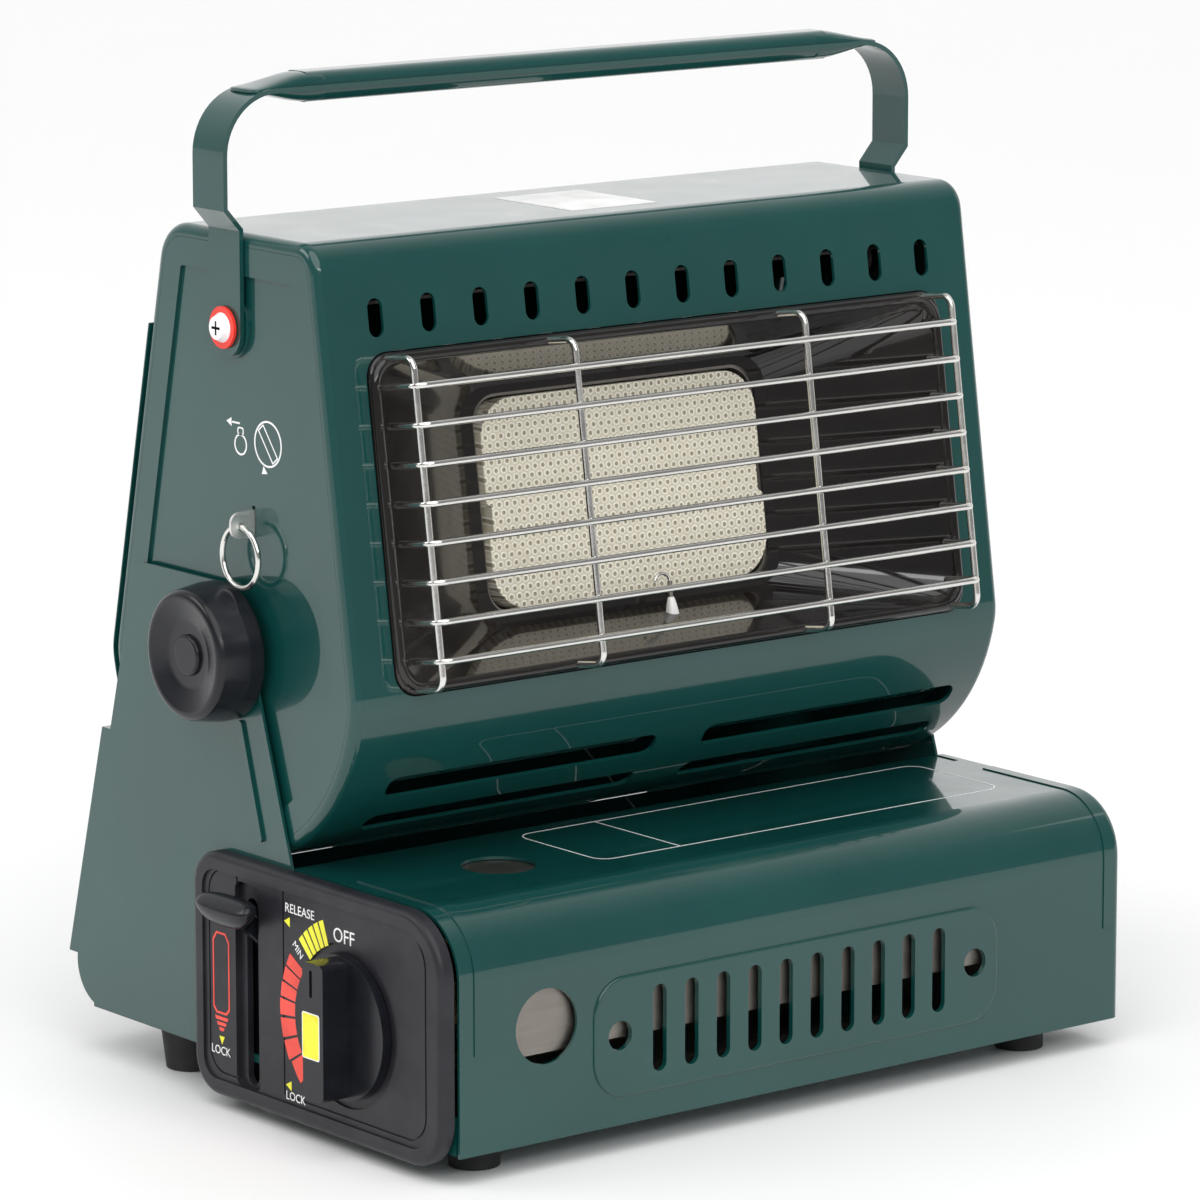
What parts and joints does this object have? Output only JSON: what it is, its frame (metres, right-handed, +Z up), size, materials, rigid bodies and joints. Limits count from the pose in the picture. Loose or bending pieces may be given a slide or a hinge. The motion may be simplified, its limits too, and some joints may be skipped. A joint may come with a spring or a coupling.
{
  "type": "portable gas heater",
  "caption": "Portable cartridge gas heater: tilting radiant head with wire guard and carry handle on a folded stand, with a lidded cartridge bay in front.",
  "frame": {"origin": "middle of the outer box on the surface the feet stand on", "axes": "+X to the right seen from the front, +Y to the back, +Z up; the window faces -Y"},
  "size_m": [0.3, 0.21, 0.3265],
  "materials": {
    "case_paint": "satin",
    "lid_paint": "satin",
    "panel_black": "satin",
    "knob_black": "matte",
    "bare_steel": "satin",
    "enamel": "gloss",
    "tile": "matte",
    "nickel": "gloss",
    "brass": "satin",
    "foot_rubber": "matte",
    "handle_paint": "satin",
    "screw_white": "satin",
    "washer_red": "gloss",
    "ceramic_white": "matte"
  },
  "bodies": {
    "base": {"base_pan": "case_paint", "stand_left": "case_paint", "stand_right": "case_paint", "rear_panel": "case_paint", "front_feet": "foot_rubber", "rear_feet": "foot_rubber", "cartridge_rails": "bare_steel", "lid_pins": "bare_steel", "control_panel": "panel_black", "gas_regulator": "brass", "piezo_igniter": "panel_black", "lever_bracket": "bare_steel"},
    "lid": {"cartridge_lid": "lid_paint", "lid_liner": "bare_steel"},
    "gas_knob": {"control_knob": "knob_black", "valve_spindle": "brass"},
    "lever": {"cartridge_lever": "knob_black"},
    "carrier": {"cartridge_carrier": "bare_steel"},
    "head": {"head_shell": "case_paint", "side_left": "case_paint", "side_right": "case_paint", "back_cover": "case_paint", "reflector": "enamel", "burner_box": "bare_steel", "ceramic_tile": "tile", "mixing_tube": "bare_steel", "gas_injector": "brass", "spark_insulator": "ceramic_white", "spark_electrode": "bare_steel", "guard_grille": "nickel", "heat_baffle": "bare_steel", "tilt_bolts": "bare_steel", "tilt_spacers": "bare_steel", "handle_screws": "screw_white", "handle_washers": "washer_red", "handle_nuts": "bare_steel", "lock_guide": "bare_steel"},
    "clamp_left": {"tilt_knob_left": "knob_black"},
    "clamp_right": {"tilt_knob_right": "knob_black"},
    "handle": {"carry_handle": "handle_paint"},
    "lock": {"lock_plate": "bare_steel"},
    "ring": {"pull_ring": "nickel"}
  },
  "joints": [
    {"name": "head_tilt", "type": "hinge", "parent": "base", "child": "head", "pos_m": [0, 0.0135, 0.1473], "axis": [-1, 0, 0], "range_deg": [-15, 25]},
    {"name": "lid_hinge", "type": "hinge", "parent": "base", "child": "lid", "pos_m": [0, -0.025, 0.0755], "axis": [-1, 0, 0], "range_deg": [0, 42]},
    {"name": "gas_knob_turn", "type": "hinge", "parent": "base", "child": "gas_knob", "pos_m": [-0.1382, -0.054, 0.041], "axis": [-1, 0, 0], "range_deg": [0, 150]},
    {"name": "lever_swing", "type": "hinge", "parent": "base", "child": "lever", "pos_m": [-0.112, -0.002, 0.04], "axis": [0, -1, 0], "range_deg": [0, 80]},
    {"name": "carrier_slide", "type": "slide", "parent": "base", "child": "carrier", "axis": [-1, 0, 0], "range_m": [0, 0.007]},
    {"name": "clamp_left_turn", "type": "hinge", "parent": "head", "child": "clamp_left", "pos_m": [0, 0.0135, 0.1473], "axis": [-1, 0, 0], "continuous": true},
    {"name": "clamp_right_turn", "type": "hinge", "parent": "head", "child": "clamp_right", "pos_m": [0, 0.0135, 0.1473], "axis": [1, 0, 0], "continuous": true},
    {"name": "handle_fold", "type": "hinge", "parent": "head", "child": "handle", "pos_m": [0, 0.0125, 0.2489], "axis": [1, 0, 0], "range_deg": [-115, 80]},
    {"name": "lock_slide", "type": "slide", "parent": "head", "child": "lock", "axis": [-1, 0, 0], "range_m": [0, 0.008], "stiffness_N_per_m": 120},
    {"name": "ring_swing", "type": "hinge", "parent": "lock", "child": "ring", "pos_m": [-0.1357, 0.002, 0.188], "axis": [0, 1, 0], "range_deg": [0, 170]}
  ],
  "couplings": [
    {"joint": "lever_swing", "follows": "carrier_slide", "rad_per_m": 199}
  ]
}
